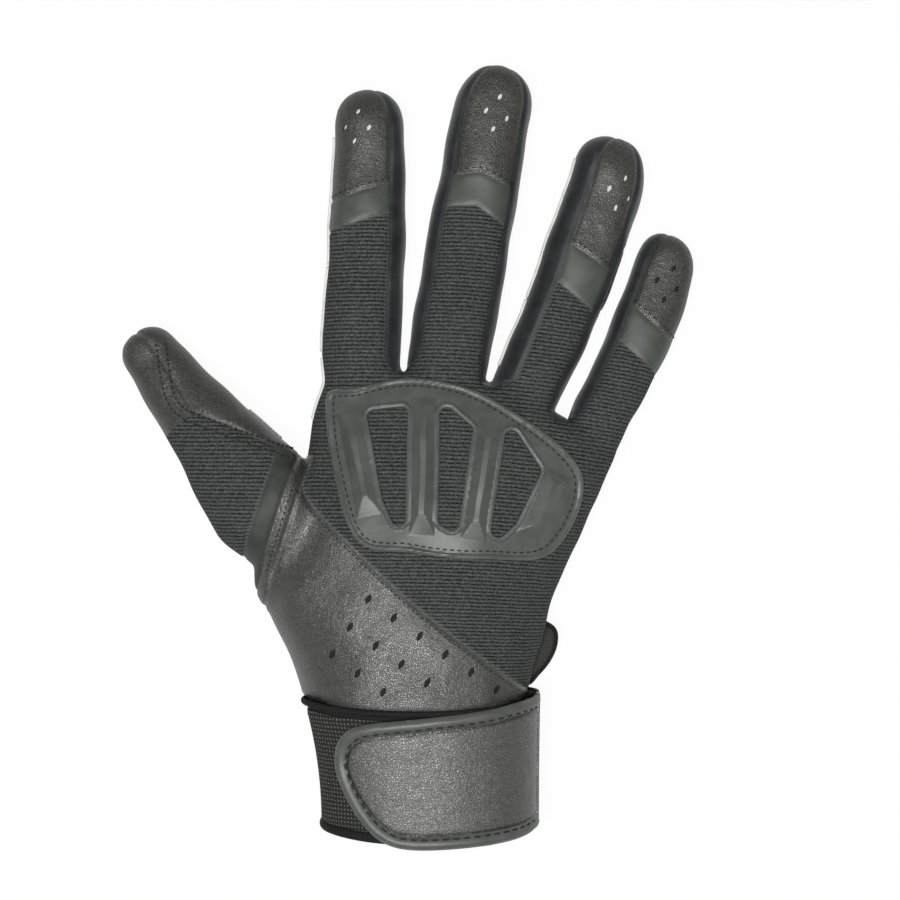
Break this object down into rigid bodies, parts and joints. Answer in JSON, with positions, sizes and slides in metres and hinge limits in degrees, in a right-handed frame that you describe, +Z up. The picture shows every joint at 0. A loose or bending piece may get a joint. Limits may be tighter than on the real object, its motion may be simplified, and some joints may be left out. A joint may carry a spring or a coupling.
{
  "type": "batting glove",
  "caption": "Right-hand batting glove with leather palm, knit back, film flex bands, moulded knuckle guard and hook-and-loop wrist strap; finger, thumb and strap fold on hinges.",
  "frame": {"origin": "middle of the flat patch of palm leather that the glove lies on", "axes": "+Z up out of the back of the hand, +Y towards the fingertips, +X towards the little finger"},
  "size_m": [0.1736, 0.2316, 0.0438],
  "materials": {
    "leather": "fine pebbled grain, slightly shiny",
    "palm leather": "smooth soft leather with a pale core",
    "knit": "ribbed stretch knit",
    "fourchette": "smooth black stretch fabric",
    "rubber": "smooth satin film and moulding",
    "webbing": "woven loop tape and binding"
  },
  "bodies": {
    "hand": {"palm_leather": "palm leather", "back_knit": "knit", "back_leather": "leather", "thumb_seam_strip": "leather", "knuckle_guard": "rubber", "vent_flap": "palm leather", "cuff_band": "webbing", "cuff_top_binding": "webbing", "cuff_bottom_binding": "webbing", "cuff_loop_patch": "webbing", "strap_anchor": "leather"},
    "index_lower": {"index_back_lower": "knit", "index_front_lower": "palm leather", "index_ulnar_fourchette_lower": "fourchette"},
    "index_upper": {"index_back_upper": "knit", "index_flex_band": "rubber", "index_tip_back": "leather", "index_front_upper": "palm leather", "index_ulnar_fourchette_upper": "fourchette"},
    "middle_lower": {"middle_back_lower": "knit", "middle_front_lower": "palm leather", "middle_radial_fourchette_lower": "fourchette", "middle_ulnar_fourchette_lower": "fourchette"},
    "middle_upper": {"middle_back_upper": "knit", "middle_flex_band": "rubber", "middle_tip_back": "leather", "middle_front_upper": "palm leather", "middle_radial_fourchette_upper": "fourchette", "middle_ulnar_fourchette_upper": "fourchette"},
    "ring_lower": {"ring_back_lower": "knit", "ring_front_lower": "palm leather", "ring_radial_fourchette_lower": "fourchette", "ring_ulnar_fourchette_lower": "fourchette"},
    "ring_upper": {"ring_back_upper": "knit", "ring_flex_band": "rubber", "ring_tip_back": "leather", "ring_front_upper": "palm leather", "ring_radial_fourchette_upper": "fourchette", "ring_ulnar_fourchette_upper": "fourchette"},
    "little_lower": {"little_back_lower": "knit", "little_front_lower": "palm leather", "little_radial_fourchette_lower": "fourchette"},
    "little_upper": {"little_back_upper": "knit", "little_flex_band": "rubber", "little_tip_back": "leather", "little_front_upper": "palm leather", "little_radial_fourchette_upper": "fourchette"},
    "thumb_lower": {"thumb_flex_band": "rubber", "thumb_back_knit": "knit", "thumb_overlay_lower": "leather", "thumb_front_lower": "palm leather"},
    "thumb_upper": {"thumb_tip_back": "leather", "thumb_overlay_upper": "leather", "thumb_front_upper": "palm leather"},
    "strap": {"strap_leather": "leather", "strap_binding": "rubber", "strap_hook_patch": "webbing"}
  },
  "joints": [
    {"name": "index_knuckle", "type": "hinge", "parent": "hand", "child": "index_lower", "pos_m": [-0.0238, 0.0615, 0.0024], "axis": [-1, 0, 0], "range_deg": [0, 80]},
    {"name": "index_middle", "type": "hinge", "parent": "index_lower", "child": "index_upper", "pos_m": [-0.0229, 0.08848, 0.0024], "axis": [-0.9995, 0.0332, 0], "range_deg": [0, 88]},
    {"name": "middle_knuckle", "type": "hinge", "parent": "hand", "child": "middle_lower", "pos_m": [0.0025, 0.0615, 0.0024], "axis": [-1, 0, 0], "range_deg": [0, 80]},
    {"name": "middle_middle", "type": "hinge", "parent": "middle_lower", "child": "middle_upper", "pos_m": [0.00764, 0.09004, 0.0024], "axis": [-0.9842, 0.1771, 0], "range_deg": [0, 88]},
    {"name": "ring_knuckle", "type": "hinge", "parent": "hand", "child": "ring_lower", "pos_m": [0.0273, 0.054, 0.0024], "axis": [-1, 0, 0], "range_deg": [0, 80]},
    {"name": "ring_middle", "type": "hinge", "parent": "ring_lower", "child": "ring_upper", "pos_m": [0.03517, 0.07561, 0.0024], "axis": [-0.9397, 0.342, 0], "range_deg": [0, 88]},
    {"name": "little_knuckle", "type": "hinge", "parent": "hand", "child": "little_lower", "pos_m": [0.0491, 0.045, 0.0024], "axis": [-1, 0, 0], "range_deg": [0, 80]},
    {"name": "little_middle", "type": "hinge", "parent": "little_lower", "child": "little_upper", "pos_m": [0.05472, 0.05891, 0.0024], "axis": [-0.9272, 0.3746, 0], "range_deg": [0, 88]},
    {"name": "thumb_swing", "type": "hinge", "parent": "hand", "child": "thumb_lower", "pos_m": [-0.04885, 0.01125, 0.0024], "axis": [-0.3078, -0.9515, 0], "range_deg": [0, 45]},
    {"name": "thumb_tip", "type": "hinge", "parent": "thumb_lower", "child": "thumb_upper", "pos_m": [-0.07381, 0.04397, 0.0024], "axis": [-0.7815, -0.6239, 0], "range_deg": [0, 60]},
    {"name": "strap_open", "type": "hinge", "parent": "hand", "child": "strap", "pos_m": [0.0299, -0.062, 0.0231], "axis": [0, 1, 0], "range_deg": [0, 150]}
  ]
}
